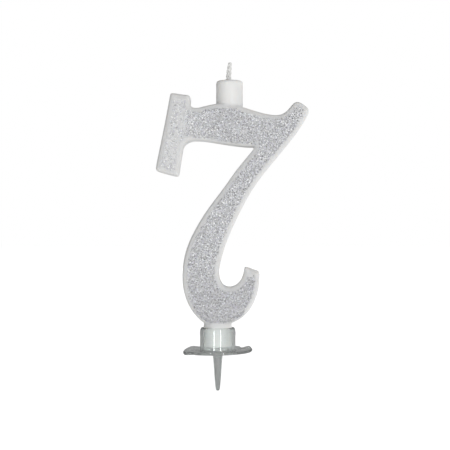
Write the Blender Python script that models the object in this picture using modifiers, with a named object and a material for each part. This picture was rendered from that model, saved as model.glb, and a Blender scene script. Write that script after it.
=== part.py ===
"""Number birthday candle: a cast wax figure 7 with a glitter front and a plaited wick, in a cake holder.

Run with: blender --background --python part.py

Frame: +Z is up, +X is to the right seen from the front, and the glitter front faces -Y. The origin is on the
holder's axis, where the spike meets the underside of the petal plate. Lengths are written in millimetres and
become metres where they are multiplied by MM.
"""

from math import atan2, cos, degrees, exp, hypot, pi, radians, sin, tan

import bmesh
import bpy
from mathutils import Matrix, Vector
from mathutils.geometry import delaunay_2d_cdt

MM = 0.001
GAP = 0.3  # clearance between pieces that touch

# Wax casting
BODY_THICKNESS = 9.2
FRONT_BEVEL = 1.4  # the mould's draft and rounding, on the front edge
BACK_BEVEL = 0.7  # the rounding where the wax met the air, on the back edge
BEVEL_STEPS = 2
SAME_PLACE = 0.02  # points of an outline this near each other are one
STEM_RADIUS = 4.5
STEM_BOTTOM = 2.0
STEM_TOP = 15.0  # inside the bowl
STEM_TAPER = 1.0  # how much narrower the hidden top of the stem is
STEM_TAPER_HEIGHT = 4.5
STEM_CHAMFER = 0.4
NECK_X = 3.8
NECK_RADIUS = 4.3
NECK_BOTTOM = 72.0  # inside the top bar
NECK_TOP = 87.75
NECK_EDGE = 1.0  # radius of the neck's top edge

# Glitter coat
COAT_THICKNESS = 0.3
COAT_INSET = 1.7  # from the outline of the figure

# Wick
WICK_X = 3.5
WICK_BOTTOM = 71.0
WICK_TOP = 93.4
WICK_LEAN = 0.45  # how far the tip leans towards +X
YARNS = 3
YARN_RADIUS = 0.22
PLAIT_HALF_WIDTH = 0.48
PLAIT_HALF_DEPTH = 0.29
PLAIT_PITCH = 4.5
POINTS_FOR_EACH_PITCH = 10
BORE_RADIUS = 0.95
BORE_BOTTOM = WICK_BOTTOM - GAP
OVERRUN = 1.0  # how far a cutter reaches past the surface it opens

# Holder
SPIKE_PROFILE = (  # radius and z, from inside the plate down to the blunt tip
    (0.0, 0.5),
    (1.7, 0.5),
    (1.6, -0.4),
    (1.45, -2.2),
    (1.3, -4.0),
    (1.18, -5.8),
    (1.06, -7.6),
    (0.83, -10.2),
    (0.7, -11.2),
    (0.62, -11.7),
    (0.45, -11.98),
    (0.22, -12.08),
    (0.0, -12.1),
)
CUP_RADIUS = 5.7
CUP_BORE_RADIUS = STEM_RADIUS + 0.25
CUP_SHOULDER = 6.9  # where the cup's outside starts to round over
CUP_LIP = 8.3
CUP_LIP_START = 78  # degrees of the rounding at which the flat lip ends
CUP_FLOOR = 0.9
CUP_BOTTOM = 0.3  # inside the plate
RIB_TOP = STEM_BOTTOM - GAP
RIB_THICKNESS = 0.7
RIBS = 6
RIB_WAY = radians(12)  # the first rib, from +X towards +Y
RIB_SUNK = 0.4  # how far the ribs reach into the floor, so that they are one body with it
PLATE_RADIUS = 11.15
PLATE_THICKNESS = 0.85
PLATE_FLAT_RADIUS = 6.4  # the petals curl up outside this
PLATE_RINGS = (3.0, PLATE_FLAT_RADIUS, 8.0, 9.2, 10.3, PLATE_RADIUS)
PLATE_STEPS_AROUND = 120
PLATE_EDGE_BEVEL = 0.25
PETALS = 4
PETAL_PHASE = radians(-8)  # the first petal's middle, from +X towards +Y
PETAL_NOTCH = 1.25  # how much shorter the plate is between two petals
PETAL_NOTCH_SHARPNESS = 20
PETAL_RISE = 0.45  # how far the petals curl up at their edge
PETAL_LEAN = 0.30  # how much more they do so towards PETAL_LEAN_WAY, and less on the other side
PETAL_LEAN_WAY = radians(50)
# The way and width of each bend, in degrees, and its rise
PETAL_BENDS = ((24, 12, 0.6), (132, 20, 0.7), (195, 25, -0.6))

# Fineness of the round parts
TURNED_SEGMENTS = 40
BORE_SEGMENTS = 16
SPIKE_SEGMENTS = 20
CUP_SEGMENTS = 48
NECK_EDGE_STEPS = 4
CUP_SHOULDER_STEPS = 5
YARN_BEVEL_RESOLUTION = 2
SHARP_ANGLE = radians(40)  # edges that turn by more than this stay crisp
PLATE_EDGE_ANGLE = radians(50)  # edges of the plate that turn by more than this are rounded


def way(heading):
    """The unit vector at a heading, in degrees from +X towards +Z."""
    return Vector((cos(radians(heading)), sin(radians(heading))))


def smooth(x, z, heading, before, after):
    """A point that the outline passes through without a corner, with its two handles in line."""
    at = Vector((x, z))
    return [(at, at - way(heading) * before, at + way(heading) * after)]


def corner(x, z, arriving, before, leaving, after, radius):
    """A turn rounded to a radius, placed where its two sides would meet. Each side has its handle."""
    turn = abs((leaving - arriving + 180) % 360 - 180)
    cut = radius * tan(radians(turn) / 2)
    reach = radius * 4 / 3 * tan(radians(turn) / 4)
    start = Vector((x, z)) - way(arriving) * cut
    end = Vector((x, z)) + way(leaving) * cut
    return [
        (start, start - way(arriving) * before, start + way(arriving) * reach),
        (end, end - way(leaving) * reach, end + way(leaving) * after),
    ]


# The figure 7 in X and Z, anticlockwise from the bottom of its bowl.
# Headings are degrees from +X towards +Z.
OUTLINE = [
    # bowl, right side
    *smooth(0.4, 9.2, 0, 3.0, 3.2),
    *smooth(9.1, 12.8, 45, 3.6, 2.6),
    *smooth(13.3, 22.6, 86, 4.0, 0.8),
    # end of the hook
    *corner(13.45, 26.3, 90, 0.8, 163, 0.8, 0.7),
    *corner(8.75, 27.8, 166, 0.8, 258, 1.0, 0.5),
    # inside of the hook
    *smooth(7.1, 23.0, 230, 1.6, 1.3),
    *smooth(3.6, 21.3, 180, 1.6, 1.8),
    *smooth(0.5, 25.8, 90, 2.6, 3.6),
    # right side of the diagonal
    *smooth(3.4, 37.2, 69, 3.6, 5.0),
    *smooth(12.8, 55.1, 55, 6.4, 3.4),
    *smooth(23.0, 67.7, 51, 5.0, 3.6),
    # flag
    *smooth(28.8, 76.4, 64, 3.2, 1.1),
    *smooth(28.3, 79.15, 142, 1.3, 1.1),
    *smooth(25.2, 80.65, 184, 1.3, 0.9),
    *smooth(22.5, 78.1, 228, 1.3, 1.2),
    # top of the bar
    *smooth(18.6, 76.4, 180, 1.9, 2.6),
    *smooth(8.6, 78.8, 161, 2.6, 3.0),
    *smooth(1.6, 80.2, 180, 3.0, 2.2),
    *smooth(-5.4, 78.95, 196, 2.2, 1.2),
    # serif
    *smooth(-8.75, 79.9, 92, 1.5, 0.5),
    *corner(-8.6, 82.75, 88, 0.5, 176, 1.0, 1.2),
    *corner(-15.05, 83.6, 172, 1.2, 258, 2.0, 0.8),
    *smooth(-17.6, 70.4, 258, 5.0, 4.2),
    *corner(-20.0, 58.65, 259, 2.6, -14, 1.2, 1.0),
    *smooth(-14.6, 57.15, -12, 1.2, 0.4),
    *corner(-12.5, 56.95, 4, 0.3, 82, 2.4, 0.7),
    *smooth(-11.0, 66.2, 77, 2.6, 0.9),
    # underside of the bar
    *smooth(-7.6, 68.35, 4, 1.6, 3.2),
    *smooth(2.4, 67.2, -8, 3.4, 2.2),
    *corner(12.0, 66.4, 4, 2.4, 240, 1.3, 0.25),
    # left side of the diagonal
    *smooth(4.1, 56.2, 236, 5.0, 5.0),
    *smooth(-5.1, 43.4, 238, 5.0, 3.2),
    # bowl, left side
    *smooth(-10.0, 33.4, 253, 3.6, 2.8),
    *smooth(-11.3, 24.8, 270, 3.0, 3.4),
    *smooth(-8.7, 14.6, 302, 3.4, 1.6),
    *smooth(-5.3, 10.6, 320, 1.4, 1.8),
]
STEPS_BETWEEN_POINTS = 6

WAX_WHITE = (0.79, 0.79, 0.77, 1)
GLITTER_SILVER = (0.55, 0.56, 0.60, 1)
WICK_WHITE = (0.82, 0.81, 0.78, 1)
HOLDER_GREY = (0.24, 0.27, 0.26, 0.75)


def clear_scene():
    for obj in list(bpy.data.objects):
        bpy.data.objects.remove(obj, do_unlink=True)


def make_collection(name):
    made = bpy.data.collections.new(name)
    bpy.context.scene.collection.children.link(made)
    return made


def make_material(name, colour, roughness, metallic=0.0):
    material = bpy.data.materials.new(name)
    material.use_nodes = True
    shader = material.node_tree.nodes["Principled BSDF"]
    shader.inputs["Base Color"].default_value = colour
    shader.inputs["Roughness"].default_value = roughness
    shader.inputs["Metallic"].default_value = metallic
    shader.inputs["Alpha"].default_value = colour[3]
    material.diffuse_color = colour
    return material


def add_object(name, data, collection, material=None):
    obj = bpy.data.objects.new(name, data)
    collection.objects.link(obj)
    if material:
        data.materials.append(material)
    return obj


def hide_cutter(obj):
    obj.hide_render = True
    obj.display_type = "WIRE"


def mesh_from(obj, name, collection, material):
    """Replace a curve or a modified object with one plain, welded mesh that sits where it sat."""
    bpy.context.view_layer.update()
    graph = bpy.context.evaluated_depsgraph_get()
    mesh = bpy.data.meshes.new_from_object(obj.evaluated_get(graph))
    mesh.name = name
    mesh.materials.clear()
    placed = obj.matrix_world.copy()
    bpy.data.objects.remove(obj, do_unlink=True)
    shape = bmesh.new()
    shape.from_mesh(mesh)
    bmesh.ops.remove_doubles(shape, verts=shape.verts, dist=1e-7)
    bmesh.ops.recalc_face_normals(shape, faces=shape.faces)
    shape.to_mesh(mesh)
    shape.free()
    made = add_object(name, mesh, collection, material)
    made.matrix_world = placed
    return made


def turned(name, profile, collection, material=None, segments=TURNED_SEGMENTS, centre=(0.0, 0.0)):
    """A solid of revolution about +Z. The profile is (radius, z) from the top of the axis to its bottom."""
    mesh = bpy.data.meshes.new(name)
    points = [(radius * MM, 0.0, z * MM) for radius, z in profile]
    mesh.from_pydata(points, [(i, i + 1) for i in range(len(points) - 1)], [])
    obj = add_object(name, mesh, collection, material)
    obj.location = (centre[0] * MM, centre[1] * MM, 0.0)
    screw = obj.modifiers.new("Turn", "SCREW")
    screw.steps = segments
    screw.render_steps = segments
    screw.use_merge_vertices = True
    screw.merge_threshold = 1e-6
    screw.use_smooth_shade = True
    return obj


def arc(centre_radius, centre_z, radius_across, radius_up, start, end, steps):
    """Points of an elliptical arc in a turned profile, both ends included."""
    points = []
    for i in range(steps + 1):
        angle = radians(start + (end - start) * i / steps)
        points.append((centre_radius + radius_across * cos(angle), centre_z + radius_up * sin(angle)))
    return points


def join(target, other, operation):
    change = target.modifiers.new(f"{operation.title()} {other.name}", "BOOLEAN")
    change.operation = operation
    change.solver = "EXACT"
    change.object = other


def outline_points():
    """The outline as short straight steps, evenly spaced in each stretch's own parameter."""
    points = []
    for i, (start, _, leaving) in enumerate(OUTLINE):
        end, arriving, _ = OUTLINE[(i + 1) % len(OUTLINE)]
        for step in range(STEPS_BETWEEN_POINTS):
            t = step / STEPS_BETWEEN_POINTS
            u = 1 - t
            points.append(start * u**3 + leaving * 3 * u * u * t + arriving * 3 * u * t * t + end * t**3)
    return points


def distance_to_outline(point, outline):
    nearest = float("inf")
    for i, a in enumerate(outline):
        along = outline[(i + 1) % len(outline)] - a
        share = max(0.0, min(1.0, (point - a).dot(along) / along.length_squared))
        nearest = min(nearest, (a + along * share - point).length)
    return nearest


def meeting_point(first, first_way, second, second_way):
    """Where two lines in the XZ plane cross, each given by a point and a direction."""
    across = first_way.x * second_way.y - first_way.y * second_way.x
    if abs(across) < 1e-3:
        return (first + second) / 2
    between = second - first
    return first + first_way * ((between.x * second_way.y - between.y * second_way.x) / across)


def inset(outline, distance):
    """The outline moved inwards, with as many points.

    Where a turn is tighter than the distance, its points run together into one sharp corner.
    """
    sides = [(outline[(i + 1) % len(outline)] - point).normalized() for i, point in enumerate(outline)]
    along = [(sides[i - 1] + side).normalized() for i, side in enumerate(sides)]
    moved = []
    for point, side, ahead in zip(outline, sides, along):
        moved.append(point + Vector((-ahead.y, ahead.x)) * distance / ahead.dot(side))
    clear = []
    for i, point in enumerate(moved):
        forwards = (moved[(i + 1) % len(moved)] - moved[i - 1]).dot(along[i]) > 0
        clear.append(forwards and distance_to_outline(point, outline) > 0.995 * distance)
    first_clear = clear.index(True)
    run = []
    for step in range(len(outline) + 1):
        i = (first_clear + step) % len(outline)
        if not clear[i]:
            run.append(i)
        elif run:
            before = run[0] - 1
            meet = meeting_point(moved[before], along[before], moved[i], along[i])
            for j in run:
                moved[j] = meet
            run = []
    for i, point in enumerate(moved):
        if (point - moved[i - 1]).length < SAME_PLACE:
            moved[i] = moved[i - 1]
    return moved


def slab(name, outline, front, back, collection, material):
    """A flat plate of the outline's shape that stands in the XZ plane, from Y front to Y back."""
    curve = bpy.data.curves.new(name, "CURVE")
    curve.dimensions = "2D"
    curve.fill_mode = "BOTH"
    curve.extrude = (back - front) / 2 * MM
    spline = curve.splines.new("POLY")
    spline.points.add(len(outline) - 1)
    for point, place in zip(spline.points, outline):
        point.co = (place.x * MM, place.y * MM, 0.0, 1.0)
    spline.use_cyclic_u = True
    obj = add_object(name, curve, collection)
    obj.rotation_euler = (pi / 2, 0.0, 0.0)
    obj.location = (0.0, (front + back) / 2 * MM, 0.0)
    return mesh_from(obj, name, collection, material)


def rounded_edge(radius, depth, side):
    """Steps of a quarter round as (inset, y), from the flat face at y = depth out to the wall."""
    steps = []
    for i in range(BEVEL_STEPS + 1):
        angle = pi / 2 * i / BEVEL_STEPS
        steps.append((radius * (1 - sin(angle)), depth + side * radius * (1 - cos(angle))))
    return steps


def fill_flat(shape, ring):
    """Close a flat ring in the XZ plane with triangles, worked out in millimetres to be exact enough."""
    places = [Vector((corner_vert.co.x, corner_vert.co.z)) / MM for corner_vert in ring]
    triangles = delaunay_2d_cdt(places, [], [list(range(len(ring)))], 1, 1e-5)[2]
    for triangle in triangles:
        shape.faces.new([ring[i] for i in triangle])


def loft(name, levels, collection, material):
    """A closed solid through the same outline at several insets and depths, with a flat cap at each end."""
    outline = outline_points()
    shape = bmesh.new()
    rings = []
    for distance, y in levels:
        at_place = {}
        ring = []
        for point in inset(outline, distance) if distance else outline:
            key = (round(point.x, 4), round(point.y, 4))
            if key not in at_place:
                at_place[key] = shape.verts.new((point.x * MM, y * MM, point.y * MM))
            ring.append(at_place[key])
        rings.append(ring)
    for ring, after in zip(rings, rings[1:]):
        for i in range(len(outline)):
            j = (i + 1) % len(outline)
            corners = list(dict.fromkeys((ring[i], ring[j], after[j], after[i])))
            if len(corners) > 2:
                shape.faces.new(corners)
    for ring in (rings[0], rings[-1]):
        fill_flat(shape, list(dict.fromkeys(ring)))
    bmesh.ops.recalc_face_normals(shape, faces=shape.faces)
    mesh = bpy.data.meshes.new(name)
    shape.to_mesh(mesh)
    shape.free()
    return add_object(name, mesh, collection, material)


def make_wax_numeral(parts, cutters):
    wax = make_material("white_wax", WAX_WHITE, 0.42)
    half = BODY_THICKNESS / 2
    levels = rounded_edge(FRONT_BEVEL, -half, 1) + rounded_edge(BACK_BEVEL, half, -1)[::-1]
    body = loft("wax_numeral", levels, parts, wax)
    stem = turned(
        "stem",
        [
            (0, STEM_TOP),
            (STEM_RADIUS - STEM_TAPER, STEM_TOP),
            (STEM_RADIUS, STEM_TOP - STEM_TAPER_HEIGHT),
            (STEM_RADIUS, STEM_BOTTOM + STEM_CHAMFER),
            (STEM_RADIUS - STEM_CHAMFER, STEM_BOTTOM),
            (0, STEM_BOTTOM),
        ],
        cutters,
    )
    neck = turned(
        "neck",
        [(0, NECK_TOP)]
        + arc(NECK_RADIUS - NECK_EDGE, NECK_TOP - NECK_EDGE, NECK_EDGE, NECK_EDGE, 90, 0, NECK_EDGE_STEPS)
        + [(NECK_RADIUS, NECK_BOTTOM), (0, NECK_BOTTOM)],
        cutters,
        centre=(NECK_X, 0),
    )
    bore_top = NECK_TOP + OVERRUN
    bore = turned(
        "wick_bore",
        [(0, bore_top), (BORE_RADIUS, bore_top), (BORE_RADIUS, BORE_BOTTOM), (0, BORE_BOTTOM)],
        cutters,
        segments=BORE_SEGMENTS,
        centre=(WICK_X, 0),
    )
    join(body, stem, "UNION")
    join(body, neck, "UNION")
    join(body, bore, "DIFFERENCE")
    for helper in (stem, neck, bore):
        hide_cutter(helper)
    return body


def make_glitter_coat(parts):
    glitter = make_material("silver_glitter", GLITTER_SILVER, 0.3, 0.7)
    back = -BODY_THICKNESS / 2 - GAP
    edge = inset(outline_points(), COAT_INSET)
    return slab("glitter_coat", edge, back - COAT_THICKNESS, back, parts, glitter)


def wick_axis(z):
    """The middle of the wick at a height: upright in the wax, leaning a little above the neck."""
    above = max(0.0, (z - NECK_TOP) / (WICK_TOP - NECK_TOP))
    return WICK_X + WICK_LEAN * above**1.5


def make_wick_strand(number, parts, cotton):
    """One yarn of a flat three-strand plait, which crosses the middle once for each half turn."""
    curve = bpy.data.curves.new(f"wick_strand_{number}", "CURVE")
    curve.dimensions = "3D"
    curve.bevel_depth = YARN_RADIUS * MM
    curve.bevel_resolution = YARN_BEVEL_RESOLUTION
    curve.use_fill_caps = True
    count = round((WICK_TOP - WICK_BOTTOM) / PLAIT_PITCH * POINTS_FOR_EACH_PITCH) + 1
    spline = curve.splines.new("POLY")
    spline.points.add(count - 1)
    for i, point in enumerate(spline.points):
        z = WICK_BOTTOM + (WICK_TOP - WICK_BOTTOM) * i / (count - 1)
        turn = 2 * pi * ((z - WICK_BOTTOM) / PLAIT_PITCH + number / YARNS)
        x = wick_axis(z) + PLAIT_HALF_WIDTH * sin(turn)
        y = PLAIT_HALF_DEPTH * sin(2 * turn)
        point.co = (x * MM, y * MM, z * MM, 1.0)
    return add_object(curve.name, curve, parts, cotton)


def petal_radius(angle):
    """The plate's edge: full radius along each petal, dipping to a narrow notch between two petals."""
    towards_notch = abs(sin((angle - PETAL_PHASE) * PETALS / 2))
    return PLATE_RADIUS - PETAL_NOTCH * towards_notch**PETAL_NOTCH_SHARPNESS


def share_outwards(radius):
    """0 as far as the plate is flat, growing to 1 at its edge."""
    return max(0.0, (radius - PLATE_FLAT_RADIUS) / (PLATE_RADIUS - PLATE_FLAT_RADIUS))


def plate_lift(x, y):
    """How far the plate rises at a place: nothing near the cup, then an uneven curl out to the edge."""
    angle = atan2(y, x)
    rise = PETAL_RISE + PETAL_LEAN * cos(angle - PETAL_LEAN_WAY)
    for way_round, width, bend in PETAL_BENDS:
        off = (degrees(angle) - way_round + 180) % 360 - 180
        rise += bend * exp(-((off / width) ** 2))
    return rise * share_outwards(hypot(x, y)) ** 2


def make_plate(collection):
    """The petal plate: rings of points from the middle to the edge, thickened upwards from its underside."""
    shape = bmesh.new()
    grid = []
    for ring in PLATE_RINGS:
        row = []
        for i in range(PLATE_STEPS_AROUND):
            angle = 2 * pi * i / PLATE_STEPS_AROUND
            radius = ring + (petal_radius(angle) - PLATE_RADIUS) * share_outwards(ring)
            x = radius * cos(angle)
            y = radius * sin(angle)
            row.append(shape.verts.new((x * MM, y * MM, plate_lift(x, y) * MM)))
        grid.append(row)
    middle = shape.verts.new((0.0, 0.0, 0.0))
    for i in range(PLATE_STEPS_AROUND):
        after = (i + 1) % PLATE_STEPS_AROUND
        shape.faces.new((middle, grid[0][i], grid[0][after]))
        for inner, outer in zip(grid, grid[1:]):
            shape.faces.new((inner[i], outer[i], outer[after], inner[after]))
    mesh = bpy.data.meshes.new("petal_plate")
    shape.to_mesh(mesh)
    shape.free()
    plate = add_object("petal_plate", mesh, collection)
    thicken = plate.modifiers.new("Thickness", "SOLIDIFY")
    thicken.thickness = PLATE_THICKNESS * MM
    thicken.offset = 1.0
    round_edge = plate.modifiers.new("Soft edge", "BEVEL")
    round_edge.width = PLATE_EDGE_BEVEL * MM
    round_edge.segments = 1
    round_edge.limit_method = "ANGLE"
    round_edge.angle_limit = PLATE_EDGE_ANGLE
    return plate


def make_ribs(collection):
    """Six stop ribs that stand on the cup's floor: three bars that cross on the axis."""
    bars = []
    for i in range(RIBS // 2):
        shape = bmesh.new()
        bottom = CUP_FLOOR - RIB_SUNK
        size = Vector((2 * (CUP_BORE_RADIUS + RIB_SUNK), RIB_THICKNESS, RIB_TOP - bottom)) * MM
        place = Matrix.Translation((0.0, 0.0, (RIB_TOP + bottom) / 2 * MM))
        turn = Matrix.Rotation(2 * pi * i / RIBS + RIB_WAY, 4, "Z")
        stretch = Matrix.Diagonal(size.to_4d())
        stretch[3][3] = 1.0
        bmesh.ops.create_cube(shape, size=1.0, matrix=place @ turn @ stretch)
        mesh = bpy.data.meshes.new(f"rib_{i + 1}")
        shape.to_mesh(mesh)
        shape.free()
        bars.append(add_object(mesh.name, mesh, collection))
    return bars


def make_holder(parts, cutters):
    plastic = make_material("clear_grey_plastic", HOLDER_GREY, 0.12)
    wall = CUP_RADIUS - CUP_BORE_RADIUS
    rise = CUP_LIP - CUP_SHOULDER
    shoulder = arc(CUP_BORE_RADIUS, CUP_SHOULDER, wall, rise, CUP_LIP_START, 0, CUP_SHOULDER_STEPS)
    # The cup's wall and floor: from the floor's middle, up the bore, over the lip and down the outside.
    cup = turned(
        "candle_holder",
        [(0, CUP_FLOOR), (CUP_BORE_RADIUS, CUP_FLOOR), (CUP_BORE_RADIUS, CUP_LIP)]
        + shoulder
        + [(CUP_RADIUS, CUP_BOTTOM), (0, CUP_BOTTOM)],
        parts,
        plastic,
        segments=CUP_SEGMENTS,
    )
    spike = turned("spike", SPIKE_PROFILE, cutters, segments=SPIKE_SEGMENTS)
    plate = make_plate(cutters)
    join(cup, plate, "UNION")
    join(cup, spike, "UNION")
    hide_cutter(plate)
    hide_cutter(spike)
    for rib in make_ribs(cutters):
        join(cup, rib, "UNION")
        hide_cutter(rib)
    return cup


def main():
    clear_scene()
    parts = make_collection("number_birthday_candle")
    cutters = make_collection("helpers")
    make_holder(parts, cutters)
    candle_axis = add_object("candle_slide_axis", None, parts)
    candle_axis.location = (0.0, 0.0, STEM_BOTTOM * MM)
    cotton = make_material("waxed_cotton", WICK_WHITE, 0.6)
    candle = [make_wax_numeral(parts, cutters), make_glitter_coat(parts)]
    candle += [make_wick_strand(number, parts, cotton) for number in range(1, YARNS + 1)]
    bpy.context.view_layer.update()
    for piece in candle:
        placed = piece.matrix_world.copy()
        piece.parent = candle_axis
        piece.matrix_world = placed
        if piece.type == "MESH":
            piece.data.shade_smooth()
            piece.data.set_sharp_from_angle(angle=SHARP_ANGLE)


main()
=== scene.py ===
"""Looks of the number birthday candle: fine wax, glitter flakes, a plaited wick and clear plastic.

Frame: +Z is up, +X is to the right seen from the glitter front, which faces -Y. Lengths are written in
millimetres and become metres where they are multiplied by MM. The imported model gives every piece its
place.
"""

import random
from math import atan2, cos, degrees, exp, hypot, pi, radians, sin, sqrt

import bmesh
import bpy
from mathutils import Matrix, Vector, noise
from mathutils.bvhtree import BVHTree
from mathutils.geometry import delaunay_2d_cdt


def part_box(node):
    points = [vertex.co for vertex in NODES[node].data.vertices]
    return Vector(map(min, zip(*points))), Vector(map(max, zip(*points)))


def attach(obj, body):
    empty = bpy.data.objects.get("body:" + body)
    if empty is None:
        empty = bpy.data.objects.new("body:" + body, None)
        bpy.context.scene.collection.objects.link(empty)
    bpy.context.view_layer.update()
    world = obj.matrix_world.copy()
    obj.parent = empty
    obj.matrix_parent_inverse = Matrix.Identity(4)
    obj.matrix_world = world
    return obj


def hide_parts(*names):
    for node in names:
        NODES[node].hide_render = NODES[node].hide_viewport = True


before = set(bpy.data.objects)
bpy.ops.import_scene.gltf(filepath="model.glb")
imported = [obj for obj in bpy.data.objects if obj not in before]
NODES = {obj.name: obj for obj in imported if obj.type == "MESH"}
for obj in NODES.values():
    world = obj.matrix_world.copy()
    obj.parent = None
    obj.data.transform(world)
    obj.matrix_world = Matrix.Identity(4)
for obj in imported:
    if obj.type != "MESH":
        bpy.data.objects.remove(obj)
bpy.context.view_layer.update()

MM = 0.001
SAME_PLACE = 1e-7  # metres; points this near each other are one


def node_box(name):
    """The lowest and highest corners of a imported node, in millimetres."""
    low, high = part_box(name)
    return Vector(low) / MM, Vector(high) / MM


WAX_LOW, WAX_HIGH = node_box("wax_numeral")
COAT_LOW, COAT_HIGH = node_box("glitter_coat")
WICK_LOW, WICK_HIGH = node_box("wick_strand_1")
HOLDER_LOW, HOLDER_HIGH = node_box("candle_holder")

# Wax
WAX_VOXEL = 0.24  # size of the remeshed casting's faces
WAX_EASING = 6  # rounds of smoothing, which round the mould's edges
WAX_EASING_FACTOR = 0.5
WAX_FRONT = WAX_LOW.y
WAX_BACK = WAX_HIGH.y
WALL_SLOPE = 0.2  # the largest Y part of the normal of a face that counts as a wall
SINK_DEPTH = 0.4  # how far the open back of the casting sank as it cooled
SINK_EDGES = (0.9, 4.0)  # distances from the edge at which the sinking starts and is full
SINK_FACING = (0.5, 0.9)  # Y parts of the normal from which a face starts to sink, and sinks fully
SINK_LAYER = 1.0  # only the wax this near the back sinks
SINK_WALL = WAX_BACK - 1.5  # where the distance to the edge is measured, clear of its rounding
SINK_UNEVENNESS = 0.35
SINK_WAVE = 3.0
UNEVENNESS = 0.035  # height of the waves in the rest of the wax
BROAD_WAVE = 5.0
FINE_WAVE = 1.7
FINE_SHARE = 0.4  # height of the fine waves as a share of the broad ones'
BORE_RADIUS = 0.95
PLUG_RADIUS = BORE_RADIUS + 0.3
PLUG_BOTTOM = WICK_LOW.z - 1.0
COLLAR_RADII = (1.9, 0.6)  # at its foot, inside the neck, and at its top, against the wick
COLLAR_HEIGHT = 1.5
COLLAR_MIDDLE = WAX_HIGH.z + 0.05
CONE_SEGMENTS = 32
DUST = 0.75  # how grey the glitter's dust makes the wax beside the coat
DUST_EDGES = (2.4, 0.6)  # distances from the coat at which the dust starts and is full
DUST_FACING = (0.0, -0.7)  # Y parts of the normal from which a face catches dust, and is full of it
DUST_DEPTH = 2.0  # how far behind the front the dust reaches

# Glitter
COAT_MIDDLE = (COAT_LOW.y + COAT_HIGH.y) / 2
FRONT_FACING = -0.9  # the Y part of the normal below which a face is part of the front
FILM_THICKNESS = 0.14
FILM_PROUD = 0.04  # how far the film stands out of the wax
FILM_GRID = 0.55
FILM_STAGGER = 0.25  # how far every second row of the grid is shifted, as a share of a step
FILM_RIPPLE = 0.03
FILM_RIPPLE_SIZE = 1.3
FILM_SHARP_ANGLE = radians(45)
FLAKES = 16000
FLAKE_RADIUS = (0.11, 0.20)
FLAKE_THICKNESS = 0.03
FLAKE_TILT = radians(13.6)  # the spread of the flakes' lean
FLAKE_SIDES = 6
FLAKE_HEIGHT = (0.0, 0.16)  # above the film
FLAKE_FACING = -0.25  # flakes stick where the Y part of the wax's normal is below this
FLAKE_MARGIN = 1.8  # how far round the coat places for flakes are tried

# How far outside the film flakes stick, and where
USUAL_REACH = 0.45
FOOT_REACH = 1.2  # the dipped foot of the bowl, down to the stem
FOOT_TOP = 14.0
BOWL_SIDE_REACH = 0.8  # the bowl's outer left side
BOWL_SIDE_TOP = 19.0
BOWL_SIDE_RIGHT = -4.0
UNDERSIDE_REACH = 1.2  # the underside of the bar
UNDERSIDE_LEFT = -8.0
UNDERSIDE_RIGHT = 13.0
UNDERSIDE_TOP = 69.5
BAR_BOTTOM = 66.0
REACH_FADE = 0.45
COAT_START = 9.75  # the lowest flakes, on the axis
COAT_START_CURVE = 0.03  # how fast that line rises to both sides

# How thickly they lie: a share, a patchiness and the size of the patches
COVER = 0.86
COVER_PATCHES = 0.3
COVER_PATCH_SIZE = 2.2
THIN_PATCHES = 0.9
THIN_PATCH_SIZE = 2.6
THIN_PLACES = (  # how thin the glitter is there, and its fades in X and in Z, each from none to full
    (0.60, ((-8.6, -10.4),), ((55.0, 56.0),)),  # serif
    (1.00, ((-8.6, -9.4),), ((80.2, 81.4),)),  # top of the serif
    (0.85, ((7.0, 8.0),), ((24.0, 25.0), (30.0, 29.0))),  # end of the hook
    (0.55, ((23.5, 26.0),), ()),  # end of the flag
)

# A flake's kind, from 0 for dark to 1 for bright
KIND_START = 0.175
KIND_RANDOM = 0.65
KIND_CLUMPS = 0.75
CLUMP = 0.45  # size of the clumps in which flakes of one kind lie
BOWL_DARKENING = 0.2
BOWL_FADE = (32.0, 14.0)
SERIF_RIGHT = -9.5
SERIF_LEAST_KIND = 0.4  # the thin dusting on the serif has few dark flakes
BAR_PALENESS = 0.09  # the bar's flakes grow paler towards the serif
BAR_FADE = (-1.0, -7.5)

# Wick
WICK_X = 3.5
WICK_LEAN = 0.45
YARNS = 3
YARN_RADIUS = 0.50
PLAIT_HALF_WIDTH = 0.33
PLAIT_HALF_DEPTH = 0.24
PLAIT_PITCH = 4.5
YARN_STEPS = 260
YARN_SEGMENTS = 20
TIP_PAST_CAD = 0.1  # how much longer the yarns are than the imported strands
TIP_GATHER = 0.74  # how far the yarns are drawn together and thinned at the tip
TIP_LENGTH = 3.6
TIP_LEAST_RADIUS = 0.02
PLIES = 3
PLY_DEPTH = 0.05
PLY_TWIST = 9.0  # radians for each millimetre

# Holder
HOLDER_SEGMENTS = 200
HOLDER_SHARP_ANGLE = radians(42)
CUP_RADIUS = 5.7
CUP_BORE_RADIUS = 4.75
CUP_FLOOR = 0.9
CUP_SHOULDER = 6.9
CUP_SHOULDER_STEPS = 8
CUP_STEP = 0.08  # the faint crease where the wall meets the rounded shoulder
CUP_STEP_EDGES = (0.12, 0.2, 0.5)  # how far below the shoulder it starts, is full and ends
CUP_LIP = HOLDER_HIGH.z
CUP_LIP_ROUNDING = 0.3
CUP_FLOOR_FLAT = 2.0
CUP_FLOOR_FILLET = 0.3
CUP_FOOT_FILLET = 0.45
BORE_LEVELS = (2.5, 4.0, 5.5, 7.0)  # heights of the rings of points up the bore
OUTSIDE_LEVELS = (5.5, 4.0, 2.5)  # and down the outside
SPIKE_TIP = HOLDER_LOW.z
SPIKE_ROOT_RADIUS = 1.6
SPIKE_FILLET = 0.4
SPIKE_PROFILE = (  # radius and z down to the blunt tip
    (1.45, -2.2),
    (1.3, -4.0),
    (1.18, -5.8),
    (1.06, -7.6),
    (0.83, -10.2),
    (0.70, -11.2),
    (0.62, -11.7),
    (0.45, -11.98),
    (0.22, -12.08),
    (0.0, SPIKE_TIP),
)
PLATE_RADIUS = 11.15
PLATE_THICKNESS = 0.85
PLATE_FLAT_RADIUS = 6.4
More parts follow.
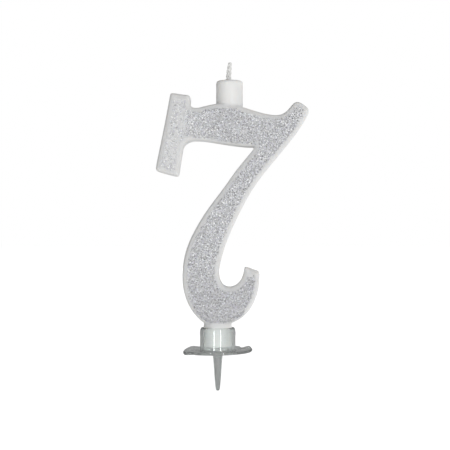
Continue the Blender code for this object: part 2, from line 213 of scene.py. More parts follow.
PETALS = 4
PETAL_PHASE = radians(-8)
PETAL_NOTCH = 1.25
PETAL_NOTCH_SHARPNESS = 20
PETAL_RISE = 0.45  # how far the petals curl up at their edge
PETAL_LEAN = 0.30  # how much more they do so towards PETAL_LEAN_WAY, and less on the other side
PETAL_LEAN_WAY = radians(50)
# The way and width of each bend, in degrees, and its rise
PETAL_BENDS = ((24, 12, 0.6), (132, 20, 0.7), (195, 25, -0.6))
RIBS = 6
RIB_WAY = radians(12)
RIB_THICKNESS = 0.7
RIB_TOP = 1.7
RIB_BOTTOM = CUP_FLOOR - 0.3  # inside the floor
RIB_LENGTH = 2 * CUP_BORE_RADIUS + 0.5  # across the bore and a little into its wall

# Camera and studio
CAMERA_X = 2.34
CAMERA_Z = 41.25
CAMERA_DISTANCE = 425.0
CAMERA_LENS = 105.5
CAMERA_SENSOR = 36.0
FLOOR_GAP = 0.2
FLOOR_RADIUS = 2.8  # metres, as are the studio's other sizes
FLOOR_COLOUR = 0.25
FLOOR_GLOW = 0.97
BACKGROUND = 1.0
TENT_RADIUS = 3.0
MATT_RAYS = ("visible_diffuse",)
CLEAR_RAYS = ("visible_glossy", "visible_transmission")
ALL_RAYS = MATT_RAYS + CLEAR_RAYS + ("visible_camera", "visible_shadow")
# A tent's name, the way it is lightest, where its glow starts and ends along that way, its glow at the
# start and at the end, and which rays see it
TENTS = (
    ("soft_tent", (0.45, -0.75, -0.45), (-0.45, 0.25), (0.10, 1.0), MATT_RAYS),
    ("dark_tent", (0.25, 0.0, -0.97), (-1.0, 1.0), (0.12, 0.46), CLEAR_RAYS),
)
STRIP_DISTANCE = 1.0
STRIP_WIDTH = 0.05
STRIP_HEIGHT = 0.9
STRIP_MIDDLE = 0.1
STRIP_AIM = 0.04
STRIPS = (("strip_left", -24, 3.4), ("strip_right", 19, 3.0))  # name, degrees from the camera, watts
SOFTBOXES = (  # name, size, watts, place, and whether gloss mirrors it
    ("key", 1.7, 2.5, (0.22, -1.2, 0.1), True),
    ("back_fill", 0.8, 5.0, (0.75, 0.8, 0.15), False),
    ("rear_fill", 0.9, 5.5, (-0.2, 1.15, 0.2), False),
)


# Small helpers


def add_object(name, data):
    obj = bpy.data.objects.new(name, data)
    bpy.context.scene.collection.objects.link(obj)
    return obj


def evaluated_mesh(obj, name):
    """The object's mesh with its modifiers applied. The object itself is removed."""
    bpy.context.view_layer.update()
    graph = bpy.context.evaluated_depsgraph_get()
    mesh = bpy.data.meshes.new_from_object(obj.evaluated_get(graph))
    mesh.transform(obj.matrix_world)
    mesh.name = name
    bpy.data.objects.remove(obj, do_unlink=True)
    return mesh


def mesh_of(shape, name):
    mesh = bpy.data.meshes.new(name)
    shape.to_mesh(mesh)
    shape.free()
    return mesh


def blend_between(low, high, value):
    """0 below low, 1 above high, and a smooth step between."""
    share = max(0.0, min(1.0, (value - low) / (high - low)))
    return share * share * (3 - 2 * share)


def finish_piece(obj, body, slot, material, *replaced):
    obj.data.materials.clear()
    obj.data.materials.append(material)
    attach(obj, body)
    if replaced:
        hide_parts(*replaced)
    return obj


# Materials


class Shader:
    """A material with one Principled shader, and short ways to add the nodes that feed it."""

    def __init__(self, name, **values):
        self.material = bpy.data.materials.new(name)
        self.material.use_nodes = True
        self.tree = self.material.node_tree
        self.principled = self.tree.nodes["Principled BSDF"]
        for key, value in values.items():
            self.principled.inputs[key.replace("_", " ")].default_value = value
        self.coordinates = self.tree.nodes.new("ShaderNodeTexCoord").outputs["Object"]

    def node(self, kind, **settings):
        made = self.tree.nodes.new(kind)
        for key, value in settings.items():
            setattr(made, key, value)
        return made

    def link(self, source, target):
        self.tree.links.new(source, target)

    def feed(self, source, socket):
        self.link(source, self.principled.inputs[socket])

    def noise(self, size, detail=3.0, roughness=0.5):
        """Noise between 0 and 1 whose lumps are about this many millimetres across."""
        made = self.node("ShaderNodeTexNoise")
        self.link(self.coordinates, made.inputs["Vector"])
        made.inputs["Scale"].default_value = 1 / (size * MM)
        made.inputs["Detail"].default_value = detail
        made.inputs["Roughness"].default_value = roughness
        return made.outputs["Fac"]

    def cells(self, size):
        """A random colour for each cell, about this many millimetres across."""
        made = self.node("ShaderNodeTexVoronoi")
        self.link(self.coordinates, made.inputs["Vector"])
        made.inputs["Scale"].default_value = 1 / (size * MM)
        return made

    def ramp(self, source, stops, interpolation="LINEAR"):
        made = self.node("ShaderNodeValToRGB")
        made.color_ramp.interpolation = interpolation
        elements = made.color_ramp.elements
        while len(elements) < len(stops):
            elements.new(0.5)
        for element, (position, colour) in zip(elements, stops):
            element.position = position
            element.color = colour if len(colour) == 4 else (*colour, 1.0)
        self.link(source, made.inputs["Fac"])
        return made.outputs["Color"]

    def span(self, source, low, high):
        """A factor between 0 and 1 as a value between low and high."""
        made = self.node("ShaderNodeMapRange")
        self.link(source, made.inputs["Value"])
        made.inputs["To Min"].default_value = low
        made.inputs["To Max"].default_value = high
        return made.outputs["Result"]

    def step(self, source, low, high):
        """A factor that is 0 up to low and 1 from high on. High may be the lower of the two."""
        made = self.node("ShaderNodeMapRange")
        self.link(source, made.inputs["Value"])
        made.inputs["From Min"].default_value = low
        made.inputs["From Max"].default_value = high
        return made.outputs["Result"]

    def sum(self, first, second):
        made = self.node("ShaderNodeMath", operation="ADD")
        self.link(first, made.inputs[0])
        self.link(second, made.inputs[1])
        return made.outputs["Value"]

    def attribute(self, name):
        return self.node("ShaderNodeAttribute", attribute_name=name).outputs["Fac"]

    def mix(self, factor, first, second):
        made = self.node("ShaderNodeMix", data_type="RGBA")
        self.link(factor, made.inputs["Factor"])
        self.link(first, made.inputs["A"])
        self.link(second, made.inputs["B"])
        return made.outputs["Result"]

    def bump(self, height, distance, strength=1.0, under=None):
        made = self.node("ShaderNodeBump")
        self.link(height, made.inputs["Height"])
        made.inputs["Distance"].default_value = distance * MM
        made.inputs["Strength"].default_value = strength
        if under:
            self.link(under, made.inputs["Normal"])
        return made.outputs["Normal"]


def grey(value, blue=0.0):
    """A grey, a little bluer as blue rises."""
    return (value, value * (1 + blue / 3), value * (1 + blue))


def wax_material():
    made = Shader(
        "white_wax",
        IOR=1.44,
        Subsurface_Weight=0.6,
        Subsurface_Radius=(1.0, 0.92, 0.82),
        Subsurface_Scale=0.0018,
    )
    clouds = made.noise(7.0, 4.0, 0.55)
    clean = made.ramp(clouds, [(0.3, (0.745, 0.745, 0.74)), (0.7, (0.785, 0.785, 0.77))])
    dusted = made.ramp(made.noise(0.5, 2.0), [(0.3, (0.58, 0.58, 0.585)), (0.7, (0.68, 0.68, 0.68))])
    made.feed(made.mix(made.attribute("dust"), clean, dusted), "Base Color")
    made.feed(made.span(made.noise(1.6, 3.0), 0.34, 0.52), "Roughness")
    waves = made.bump(made.noise(2.6, 2.0), 0.06)
    made.feed(made.bump(made.noise(0.35, 2.0), 0.012, under=waves), "Normal")
    return made.material


def film_material():
    """Dried lacquer full of fine glitter dust. Where the dust is thin, the white wax shows."""
    made = Shader("glitter_lacquer", IOR=1.47, Coat_Weight=0.4, Coat_Roughness=0.15)
    dust = made.cells(0.24)
    random_value = made.node("ShaderNodeSeparateColor")
    made.link(dust.outputs["Color"], random_value.inputs["Color"])
    greys = made.ramp(
        random_value.outputs["Red"],
        [
            (0.0, grey(0.26)),
            (0.18, grey(0.38)),
            (0.40, grey(0.50, 0.06)),
            (0.66, grey(0.66)),
            (0.86, grey(0.90, 0.04)),
        ],
        "CONSTANT",
    )
    patchy = made.sum(made.attribute("thin"), made.span(made.noise(1.1, 2.0), -0.4, 0.4))
    bare = made.step(patchy, 0.42, 0.66)
    wax = made.ramp(made.noise(7.0, 2.0), [(0.3, (0.66, 0.66, 0.66)), (0.7, (0.70, 0.70, 0.695))])
    made.feed(made.mix(bare, greys, wax), "Base Color")
    made.feed(made.span(random_value.outputs["Green"], 0.25, 0.5), "Roughness")
    metal = made.node("ShaderNodeMath", operation="SUBTRACT", use_clamp=True)
    made.link(made.span(random_value.outputs["Blue"], 0.05, 0.4), metal.inputs[0])
    made.link(bare, metal.inputs[1])
    made.feed(metal.outputs["Value"], "Metallic")
    made.feed(made.bump(made.noise(0.3, 2.0), 0.03), "Normal")
    return made.material


def flake_material():
    made = Shader("silver_flake", Coat_Weight=0.3, Coat_Roughness=0.1)
    kind = made.attribute("flake")
    colours = made.ramp(
        kind,
        [
            (0.0, grey(0.22)),
            (0.08, grey(0.34, 0.08)),
            (0.22, grey(0.46)),
            (0.40, (0.54, 0.53, 0.60)),
            (0.56, grey(0.62)),
            (0.70, (0.68, 0.71, 0.74)),
            (0.84, grey(0.84)),
            (0.94, grey(0.97)),
        ],
        "CONSTANT",
    )
    made.feed(colours, "Base Color")
    made.feed(made.span(kind, 0.4, 0.55), "Roughness")
    made.principled.inputs["Metallic"].default_value = 0.3
    return made.material


def wick_material():
    made = Shader("waxed_cotton", IOR=1.45)
    cotton = made.ramp(made.noise(0.5, 3.0), [(0.3, (0.69, 0.69, 0.68)), (0.7, (0.77, 0.77, 0.75))])
    made.feed(cotton, "Base Color")
    made.feed(made.span(made.noise(0.8, 2.0), 0.45, 0.7), "Roughness")
    made.feed(made.bump(made.noise(0.35, 1.0), 0.004), "Normal")
    return made.material


def holder_material():
    made = Shader("clear_grey_plastic", IOR=1.49, Transmission_Weight=0.93)
    tint = made.noise(5.0, 2.0)
    walls = made.ramp(tint, [(0.3, (0.90, 0.93, 0.92)), (0.7, (0.94, 0.965, 0.955))])
    spike = made.ramp(tint, [(0.3, (0.57, 0.60, 0.59)), (0.7, (0.61, 0.635, 0.625))])
    place = made.node("ShaderNodeSeparateXYZ")
    made.link(made.coordinates, place.inputs["Vector"])
    thick = made.step(place.outputs["Z"], 0.3 * MM, -1.5 * MM)
    made.feed(made.mix(thick, walls, spike), "Base Color")
    polish = made.span(made.noise(2.5, 3.0), 0.03, 0.08)
    made.feed(made.sum(polish, made.span(thick, 0.0, 0.3)), "Roughness")
    made.feed(made.bump(made.noise(3.0, 1.0), 0.012), "Normal")
    return made.material


# Wax casting


def add_cone(shape, bottom_radius, top_radius, height, middle):
    """Add a closed cone that stands round the wick's axis, with its middle at a height."""
    bmesh.ops.create_cone(
        shape,
        cap_ends=True,
        segments=CONE_SEGMENTS,
        radius1=bottom_radius * MM,
        radius2=top_radius * MM,
        depth=height * MM,
        matrix=Matrix.Translation(Vector((WICK_X, 0.0, middle)) * MM),
    )


def close_bore(shape):
    """Wax fills the bore round the wick and climbs it: a plug, and a low collar above the neck."""
    add_cone(shape, PLUG_RADIUS, PLUG_RADIUS, WAX_HIGH.z - PLUG_BOTTOM, (WAX_HIGH.z + PLUG_BOTTOM) / 2)
    add_cone(shape, *COLLAR_RADII, COLLAR_HEIGHT, COLLAR_MIDDLE)


def wall_tree(node):
    """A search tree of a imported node's walls, which run from its front to its back, in millimetres."""
    mesh = NODES[node].data
    mesh.calc_loop_triangles()
    corners = [vertex.co / MM for vertex in mesh.vertices]
    walls = [tuple(t.vertices) for t in mesh.loop_triangles if abs(t.normal.y) < WALL_SLOPE]
    return BVHTree.FromPolygons(corners, walls)


def make_wax():
    """The casting, with eased edges, an uneven skin, a sunken back and glitter dust beside the coat."""
    shape = bmesh.new()
    shape.from_mesh(NODES["wax_numeral"].data)
    close_bore(shape)
    rough = add_object("wax_numeral_fine", mesh_of(shape, "rough_wax"))
    remesh = rough.modifiers.new("Even faces", "REMESH")
    remesh.mode = "VOXEL"
    remesh.voxel_size = WAX_VOXEL * MM
    ease = rough.modifiers.new("Eased edges", "SMOOTH")
    ease.factor = WAX_EASING_FACTOR
    ease.iterations = WAX_EASING
    mesh = evaluated_mesh(rough, "wax_casting")
    walls = wall_tree("wax_numeral")
    coat_walls = wall_tree("glitter_coat")
    moved = []
    dust = []
    for vertex in mesh.vertices:
        place = vertex.co / MM
        facing = vertex.normal.y
        drift = noise.noise(place / BROAD_WAVE) + FINE_SHARE * noise.noise(place / FINE_WAVE)
        place = place + vertex.normal * drift * UNEVENNESS
        if facing > SINK_FACING[0] and place.y > WAX_BACK - SINK_LAYER:
            edge = walls.find_nearest(Vector((place.x, SINK_WALL, place.z)))[3]
            sink = SINK_DEPTH * blend_between(*SINK_EDGES, edge)
            uneven = 1 + SINK_UNEVENNESS * noise.noise(place / SINK_WAVE)
            place.y -= sink * uneven * blend_between(*SINK_FACING, facing)
        moved.append(place * MM)
        share = 0.0
        if facing < 0 and place.y < WAX_FRONT + DUST_DEPTH:
            away = coat_walls.find_nearest(Vector((place.x, COAT_MIDDLE, place.z)))[3]
            share = DUST * blend_between(*DUST_EDGES, away) * blend_between(*DUST_FACING, facing)
        dust.append(share)
    for vertex, place in zip(mesh.vertices, moved):
        vertex.co = place
    mesh.attributes.new("dust", "FLOAT", "POINT").data.foreach_set("value", dust)
    mesh.shade_smooth()
    casting = add_object("wax_casting", mesh)
    return finish_piece(casting, "candle", "wax", wax_material(), "wax_numeral")


def tree_of(obj):
    mesh = obj.data
    mesh.calc_loop_triangles()
    corners = [vertex.co / MM for vertex in mesh.vertices]
    return BVHTree.FromPolygons(corners, [tuple(t.vertices) for t in mesh.loop_triangles])


def on_front(tree, x, z):
    """Where a line from the front at X and Z meets a surface, and its normal there, or None."""
    place, normal, _, _ = tree.ray_cast(Vector((x, -30.0, z)), Vector((0.0, 1.0, 0.0)))
    return (place, normal) if place else None


# Glitter


def coat_ring():
    """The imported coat's edge, as points (x, z) in order round its front face."""
    mesh = NODES["glitter_coat"].data
    shape = bmesh.new()
    shape.from_mesh(mesh)
    bmesh.ops.remove_doubles(shape, verts=shape.verts, dist=SAME_PLACE)
    after = {}
    for edge in shape.edges:
        front = [face for face in edge.link_faces if face.normal.y < FRONT_FACING]
        if len(front) == 1 and len(edge.link_faces) == 2:
            for loop in front[0].loops:
                if loop.edge == edge:
                    after[loop.vert] = loop.link_loop_next.vert
    start = next(iter(after))
    ring = [start]
    while after[ring[-1]] != start:
        ring.append(after[ring[-1]])
    places = [Vector((vert.co.x, vert.co.z)) / MM for vert in ring]
    shape.free()
    return places


def thin_glitter(x, z):
    """How thin the glitter lies at a place: 0 where it covers the wax, 1 where the wax is bare."""
    thinnest = 0.0
    for thin, fades_in_x, fades_in_z in THIN_PLACES:
        for fade in fades_in_x:
            thin *= blend_between(*fade, x)
        for fade in fades_in_z:
            thin *= blend_between(*fade, z)
        thinnest = max(thinnest, thin)
    return thinnest


def make_film(wax):
    """The lacquer skin: a thin closed sheet over the wax front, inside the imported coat's edge."""
    ring = coat_ring()
    inside = tree_of(NODES["glitter_coat"])
    walls = wall_tree("glitter_coat")
    points = list(ring)
    columns = int((COAT_HIGH.x - COAT_LOW.x) / FILM_GRID)
    rows = int((COAT_HIGH.z - COAT_LOW.z) / FILM_GRID)
    for column in range(columns):
        for row in range(rows):
            x = COAT_LOW.x + (column + 0.5 + FILM_STAGGER * (row % 2)) * FILM_GRID
            z = COAT_LOW.z + (row + 0.5) * FILM_GRID
            edge = walls.find_nearest(Vector((x, COAT_MIDDLE, z)))[3]
            if on_front(inside, x, z) and edge > FILM_GRID / 2:
                points.append(Vector((x, z)))
    found = delaunay_2d_cdt(points, [], [list(range(len(ring)))], 1, 1e-5)
    places, _, triangles = found[0], found[1], found[2]
    shape = bmesh.new()
    verts = []
    for place in places:
        hit = on_front(wax, place.x, place.y)
        ripple = FILM_RIPPLE * noise.noise(Vector((place.x, place.y, 0.0)) / FILM_RIPPLE_SIZE)
        depth = (hit[0].y if hit else WAX_FRONT) - FILM_PROUD + ripple
        verts.append(shape.verts.new((place.x * MM, depth * MM, place.y * MM)))
    for triangle in triangles:
        shape.faces.new([verts[i] for i in triangle])
    bmesh.ops.recalc_face_normals(shape, faces=shape.faces)
    shape.faces.ensure_lookup_table()
    if shape.faces[0].normal.y > 0:
        bmesh.ops.reverse_faces(shape, faces=shape.faces)
    film = add_object("rough_film", mesh_of(shape, "rough_film"))
    thicken = film.modifiers.new("Thickness", "SOLIDIFY")
    thicken.thickness = FILM_THICKNESS * MM
    thicken.offset = -1.0
    mesh = evaluated_mesh(film, "lacquer_film")
    bare = [thin_glitter(vertex.co.x / MM, vertex.co.z / MM) for vertex in mesh.vertices]
    mesh.attributes.new("thin", "FLOAT", "POINT").data.foreach_set("value", bare)
    mesh.shade_smooth()
    mesh.set_sharp_from_angle(angle=FILM_SHARP_ANGLE)
    film = add_object("lacquer_film", mesh)
    return finish_piece(film, "candle", "glitter", film_material(), "glitter_coat")


def flake_reach(x, z):
    """How far outside the film's edge flakes stick at a place."""
    if z < FOOT_TOP:
        return FOOT_REACH
    if z < BOWL_SIDE_TOP and x < BOWL_SIDE_RIGHT:
        return BOWL_SIDE_REACH
    if BAR_BOTTOM < z < UNDERSIDE_TOP and UNDERSIDE_LEFT < x < UNDERSIDE_RIGHT:
        return UNDERSIDE_REACH
    return USUAL_REACH


def glitter_density(x, z, depth):
    """How likely a flake sticks, from 0 to 1. Depth is how far the place is inside the film's edge."""
    if z < COAT_START + COAT_START_CURVE * x * x:
        return 0.0
    reach = flake_reach(x, z)
    edge = blend_between(-reach, -reach + REACH_FADE, depth)
    patches = COVER + COVER_PATCHES * noise.noise(Vector((x, z, 9.0)) / COVER_PATCH_SIZE)
    thin = thin_glitter(x, z)
    if thin:
        patches += THIN_PATCHES * thin * noise.noise(Vector((x, z, 3.0)) / THIN_PATCH_SIZE)
    return max(0.0, edge * (1 - thin) * patches)


def flake_kind(x, z, chance):
    """A flake's kind from its place and a chance between 0 and 1."""
    clump = noise.noise(Vector((x, z, 5.0)) / CLUMP)
    kind = max(0.0, min(1.0, KIND_START + KIND_RANDOM * chance + KIND_CLUMPS * clump))
    kind *= 1 - BOWL_DARKENING * blend_between(*BOWL_FADE, z)
    if x < SERIF_RIGHT:
        return SERIF_LEAST_KIND + (1 - SERIF_LEAST_KIND) * kind
    if z > BAR_BOTTOM:
        return min(1.0, kind + BAR_PALENESS * blend_between(*BAR_FADE, x))
    return kind


def flake_corners(centre, normal, radius, draw):
    """A six-sided flake as a very flat double pyramid, leaning at random from the surface's normal."""
    lean = Vector((draw.gauss(0, 1), draw.gauss(0, 1), draw.gauss(0, 1)))
    lean -= normal * lean.dot(normal)
    up = (normal + lean * FLAKE_TILT).normalized()
    side = up.cross(Vector((draw.random(), draw.random(), draw.random() + 0.01))).normalized()
    across = up.cross(side)
    corners = []
    for i in range(FLAKE_SIDES):
        angle = 2 * pi / FLAKE_SIDES * i
        corners.append(centre + (side * cos(angle) + across * sin(angle)) * radius)
    corners.append(centre + up * FLAKE_THICKNESS / 2)
    corners.append(centre - up * FLAKE_THICKNESS / 2)
    return corners


def make_flakes(wax):
    """The loose flakes, in one object. They lie on the film and stray a little way past its edge."""
    draw = random.Random(7)
    inside = tree_of(NODES["glitter_coat"])
    walls = wall_tree("glitter_coat")
    corners = []
    faces = []
    kinds = []
    count = 0
    while count < FLAKES:
        x = draw.uniform(COAT_LOW.x - FLAKE_MARGIN, COAT_HIGH.x + FLAKE_MARGIN)
        z = draw.uniform(COAT_LOW.z - FLAKE_MARGIN, COAT_HIGH.z + FLAKE_MARGIN)
        kept = draw.random()
        depth = walls.find_nearest(Vector((x, COAT_MIDDLE, z)))[3]
        if not on_front(inside, x, z):
            depth = -depth
        if depth < -FLAKE_MARGIN or kept > glitter_density(x, z, depth):
            continue
        hit = on_front(wax, x, z)
        if not hit or hit[1].y > FLAKE_FACING:
            continue
        place, normal = hit
        centre = place + normal * (FILM_PROUD + draw.uniform(*FLAKE_HEIGHT))
        first = len(corners)
        top = first + FLAKE_SIDES
        bottom = top + 1
        corners += flake_corners(centre, normal, draw.uniform(*FLAKE_RADIUS), draw)
        for i in range(FLAKE_SIDES):
            after = (i + 1) % FLAKE_SIDES
            faces.append((first + i, first + after, top))
            faces.append((first + after, first + i, bottom))
        kinds += [flake_kind(x, z, draw.random())] * (FLAKE_SIDES + 2)
        count += 1
    mesh = bpy.data.meshes.new("glitter_flakes")
    mesh.from_pydata([corner * MM for corner in corners], [], faces)
    mesh.attributes.new("flake", "FLOAT", "POINT").data.foreach_set("value", kinds)
    flakes = add_object("glitter_flakes", mesh)
    return finish_piece(flakes, "candle", "glitter", flake_material(), "glitter_coat")


# Wick


def wick_axis(z):
    above = max(0.0, (z - WAX_HIGH.z) / (WICK_HIGH.z - WAX_HIGH.z))
    return WICK_X + WICK_LEAN * above**1.5


def make_yarn(number, material):
    """One yarn of the flat plait. It thins towards the trimmed tip."""
    bottom = WICK_LOW.z
    top = WICK_HIGH.z + TIP_PAST_CAD
    shape = bmesh.new()
    rings = []
    for i in range(YARN_STEPS + 1):
        z = bottom + (top - bottom) * i / YARN_STEPS
        turn = 2 * pi * ((z - bottom) / PLAIT_PITCH + number / YARNS)
        to_tip = top - z
        gather = TIP_GATHER + (1 - TIP_GATHER) * blend_between(0.0, TIP_LENGTH, to_tip)
        x = wick_axis(z) + PLAIT_HALF_WIDTH * gather * sin(turn)
        centre = Vector((x, PLAIT_HALF_DEPTH * sin(2 * turn), z))
        radius = YARN_RADIUS * gather
        if to_tip < radius:
            radius = sqrt(max(0.0, radius**2 - (radius - to_tip) ** 2)) + TIP_LEAST_RADIUS
        ring = []
        for j in range(YARN_SEGMENTS):
            angle = 2 * pi * j / YARN_SEGMENTS
            ply = 1 + PLY_DEPTH * cos(PLIES * angle + PLY_TWIST * z)
            offset = Vector((cos(angle), sin(angle), 0.0)) * radius * ply
            ring.append(shape.verts.new((centre + offset) * MM))
        rings.append(ring)
    for ring, after in zip(rings, rings[1:]):
        for j in range(YARN_SEGMENTS):
            k = (j + 1) % YARN_SEGMENTS
            shape.faces.new((ring[j], ring[k], after[k], after[j]))
    shape.faces.new(rings[0][::-1])
    shape.faces.new(rings[-1])
    bmesh.ops.recalc_face_normals(shape, faces=shape.faces)
    mesh = mesh_of(shape, f"wick_yarn_{number}")
    mesh.shade_smooth()
    yarn = add_object(mesh.name, mesh)
    return finish_piece(yarn, "candle", "wick", material, f"wick_strand_{number}")


# Holder


def arc(centre_radius, centre_z, radius, start, end, steps):
    """Points of an arc in the holder's outline, from one angle to another in degrees."""
    points = []
    for i in range(steps + 1):
        angle = radians(start + (end - start) * i / steps)
        points.append((centre_radius + radius * cos(angle), centre_z + radius * sin(angle)))
    return points


def holder_profile():
    """The moulding as one outline (radius, z): cup floor, bore, lip, outside, plate, underside, spike."""
    fillet = CUP_FLOOR_FILLET
    points = [(0.0, CUP_FLOOR), (CUP_FLOOR_FLAT, CUP_FLOOR)]
    points += arc(CUP_BORE_RADIUS - fillet, CUP_FLOOR + fillet, fillet, -90, 0, 5)
    points += [(CUP_BORE_RADIUS, z) for z in BORE_LEVELS]
    lip = CUP_LIP_ROUNDING
    points += arc(CUP_BORE_RADIUS + lip, CUP_LIP - lip, lip, 180, 90, 5)
    width = CUP_RADIUS - CUP_BORE_RADIUS - lip
    height = CUP_LIP - CUP_SHOULDER
    for i in range(1, CUP_SHOULDER_STEPS + 1):
        angle = radians(90 - 90 * i / CUP_SHOULDER_STEPS)
        points.append((CUP_RADIUS - width + width * cos(angle), CUP_SHOULDER + height * sin(angle)))
    step_start, step_full, step_end = CUP_STEP_EDGES
    points.append((CUP_RADIUS, CUP_SHOULDER - step_start))
    points.append((CUP_RADIUS + CUP_STEP, CUP_SHOULDER - step_full))
    points.append((CUP_RADIUS + CUP_STEP, CUP_SHOULDER - step_end))
    points += [(CUP_RADIUS, z) for z in OUTSIDE_LEVELS]
    foot = CUP_RADIUS + CUP_FOOT_FILLET
    top = PLATE_THICKNESS
    points += arc(foot, top + CUP_FOOT_FILLET, CUP_FOOT_FILLET, 180, 270, 6)
    edge = PLATE_THICKNESS / 2
    reach = PLATE_RADIUS - edge
    points += [(foot + (reach - foot) * i / 10, top) for i in range(1, 10)]
    points += arc(reach, edge, edge, 90, -90, 12)
    root = SPIKE_ROOT_RADIUS + SPIKE_FILLET
    points += [(reach + (root - reach) * i / 12, 0.0) for i in range(1, 12)]
    points += arc(root, -SPIKE_FILLET, SPIKE_FILLET, 90, 180, 4)
    points += SPIKE_PROFILE
    return points


def petal_radius(angle):
    """The plate's edge: full radius along each petal, dipping to a narrow notch between two petals."""
    towards_notch = abs(sin((angle - PETAL_PHASE) * PETALS / 2))
    return PLATE_RADIUS - PETAL_NOTCH * towards_notch**PETAL_NOTCH_SHARPNESS


def share_outwards(radius):
    """0 as far as the plate is flat, growing to 1 at its edge."""
    return max(0.0, (radius - PLATE_FLAT_RADIUS) / (PLATE_RADIUS - PLATE_FLAT_RADIUS))


def plate_lift(x, y):
    """How far the plate rises at a place: nothing near the cup, then an uneven curl out to the edge."""
    angle = atan2(y, x)
    rise = PETAL_RISE + PETAL_LEAN * cos(angle - PETAL_LEAN_WAY)
    for way, width, bend in PETAL_BENDS:
        off = (degrees(angle) - way + 180) % 360 - 180
        rise += bend * exp(-((off / width) ** 2))
    return rise * share_outwards(hypot(x, y)) ** 2


def make_ribs():
    """Six stop ribs on the cup's floor: three bars that cross on the axis."""
    bars = []
    for i in range(RIBS // 2):
        bar = bmesh.new()
        size = Vector((RIB_LENGTH, RIB_THICKNESS, RIB_TOP - RIB_BOTTOM)) * MM
        place = Matrix.Translation((0.0, 0.0, (RIB_TOP + RIB_BOTTOM) / 2 * MM))
        turn = Matrix.Rotation(2 * pi * i / RIBS + RIB_WAY, 4, "Z")
        stretch = Matrix.Diagonal(size.to_4d())
        stretch[3][3] = 1.0
        bmesh.ops.create_cube(bar, size=1.0, matrix=place @ turn @ stretch)
        bars.append(add_object(f"rib_{i + 1}", mesh_of(bar, f"rib_{i + 1}")))
    return bars


def make_holder():
    """The outline turned round the axis, drawn in and lifted to make the petals, with the ribs joined."""
    shape = bmesh.new()
    rings = []
    for radius, z in holder_profile():
        if radius == 0.0:
            rings.append([shape.verts.new((0.0, 0.0, z * MM))])
            continue
        ring = []
        for i in range(HOLDER_SEGMENTS):
            angle = 2 * pi * i / HOLDER_SEGMENTS
            out = radius + (petal_radius(angle) - PLATE_RADIUS) * share_outwards(radius)
            x = out * cos(angle)
            y = out * sin(angle)
            ring.append(shape.verts.new((x * MM, y * MM, (z + plate_lift(x, y)) * MM)))
        rings.append(ring)
    for ring, after in zip(rings, rings[1:]):
        for i in range(HOLDER_SEGMENTS):
            j = (i + 1) % HOLDER_SEGMENTS
            corners = [ring[i % len(ring)], ring[j % len(ring)]]
            corners += [after[j % len(after)], after[i % len(after)]]
            shape.faces.new(list(dict.fromkeys(corners)))
    bmesh.ops.recalc_face_normals(shape, faces=shape.faces)
    holder = add_object("rough_holder", mesh_of(shape, "rough_holder"))
    bars = make_ribs()
    for bar in bars:
        join = holder.modifiers.new(bar.name, "BOOLEAN")
        join.operation = "UNION"
        join.solver = "EXACT"
        join.object = bar
    mesh = evaluated_mesh(holder, "clear_holder")
    for bar in bars:
        bpy.data.objects.remove(bar, do_unlink=True)
    mesh.shade_smooth()
    mesh.set_sharp_from_angle(angle=HOLDER_SHARP_ANGLE)
    holder = add_object("clear_holder", mesh)
    finish_piece(holder, "holder", "holder", holder_material(), "candle_holder")
    holder.visible_shadow = False  # clear plastic: the lights reach the stem through it


# Studio


def floor_material():
    made = Shader(
        "pale_floor",
        Roughness=0.9,
        Specular_IOR_Level=0.0,
        Emission_Color=(1.0, 1.0, 1.0, 1.0),
        Emission_Strength=FLOOR_GLOW,
    )
    clouds = made.noise(60.0, 2.0)
    greys = made.ramp(clouds, [(0.0, grey(FLOOR_COLOUR)), (1.0, grey(FLOOR_COLOUR * 0.99))])
    made.feed(greys, "Base Color")
    return made.material


def make_floor():
    """A pale table that glows, like a light table. The pieces neither mirror it nor catch its light."""
    shape = bmesh.new()
    bmesh.ops.create_circle(shape, cap_ends=True, segments=96, radius=FLOOR_RADIUS)
    floor = add_object("floor", mesh_of(shape, "floor"))
    floor.location.z = (HOLDER_LOW.z - FLOOR_GAP) * MM
    floor.data.materials.append(floor_material())
    floor.visible_diffuse = False
    floor.visible_shadow = False
    floor.visible_glossy = False
    floor.visible_transmission = False


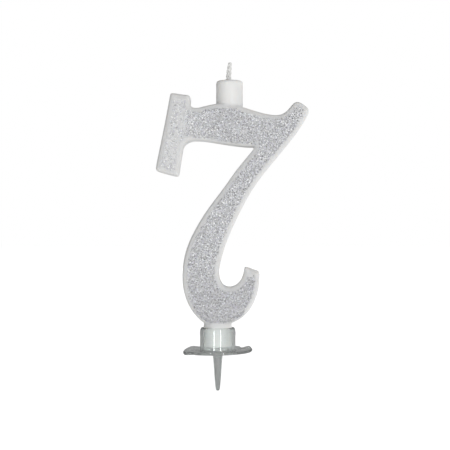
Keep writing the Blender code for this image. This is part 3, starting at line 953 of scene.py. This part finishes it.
def make_tent(name, lightest, stretch, glows, rays):
    """A tent all round that only some rays see. The camera looks through it at the white room."""
    shape = bmesh.new()
    bmesh.ops.create_uvsphere(shape, u_segments=48, v_segments=24, radius=TENT_RADIUS)
    tent = add_object(name, mesh_of(shape, name))
    tent.data.shade_smooth()
    made = Shader(f"{name}_cloth", Base_Color=(0.0, 0.0, 0.0, 1.0), Specular_IOR_Level=0.0)
    along = made.node("ShaderNodeVectorMath", operation="DOT_PRODUCT")
    made.link(made.coordinates, along.inputs[0])
    along.inputs[1].default_value = Vector(lightest).normalized() / TENT_RADIUS
    made.feed(made.span(made.step(along.outputs["Value"], *stretch), *glows), "Emission Strength")
    made.principled.inputs["Emission Color"].default_value = (1.0, 1.0, 1.0, 1.0)
    tent.data.materials.append(made.material)
    for ray in ALL_RAYS:
        setattr(tent, ray, ray in rays)


def make_light(name, width, height, power, place, aim, mirrored=True, lights_matt=True):
    """A rectangular lamp. Mirrored says whether gloss and clear plastic show it."""
    data = bpy.data.lights.new(name, "AREA")
    data.shape = "RECTANGLE"
    data.size = width
    data.size_y = height
    data.energy = power
    light = add_object(name, data)
    light.location = place
    light.rotation_euler = (Vector(aim) - Vector(place)).to_track_quat("-Z", "Y").to_euler()
    light.visible_camera = False
    light.visible_glossy = mirrored
    light.visible_transmission = mirrored
    light.visible_diffuse = lights_matt


def make_studio():
    world = bpy.data.worlds.new("white_room")
    world.use_nodes = True
    room = world.node_tree.nodes["Background"]
    room.inputs["Color"].default_value = (BACKGROUND, BACKGROUND, BACKGROUND, 1.0)
    bpy.context.scene.world = world
    bpy.context.scene.view_settings.view_transform = "Standard"
    make_floor()
    for tent in TENTS:
        make_tent(*tent)
    for name, azimuth, power in STRIPS:
        angle = radians(azimuth)
        place = (sin(angle) * STRIP_DISTANCE, -cos(angle) * STRIP_DISTANCE, STRIP_MIDDLE)
        aim = (0.0, 0.0, STRIP_AIM)
        make_light(name, STRIP_WIDTH, STRIP_HEIGHT, power, place, aim, lights_matt=False)
    for name, size, power, place, mirrored in SOFTBOXES:
        make_light(name, size, size, power, place, (CAMERA_X * MM, 0.0, CAMERA_Z * MM), mirrored)


def make_camera():
    camera = add_object("camera", bpy.data.cameras.new("camera"))
    camera.data.lens = CAMERA_LENS
    camera.data.sensor_width = CAMERA_SENSOR
    camera.data.clip_start = 0.01
    camera.location = (CAMERA_X * MM, -CAMERA_DISTANCE * MM, CAMERA_Z * MM)
    camera.rotation_euler = (pi / 2, 0.0, 0.0)
    bpy.context.scene.camera = camera


make_camera()
make_studio()
casting = make_wax()
casting_tree = tree_of(casting)
make_film(casting_tree)
make_flakes(casting_tree)
cotton = wick_material()
for yarn in range(1, YARNS + 1):
    make_yarn(yarn, cotton)
make_holder()
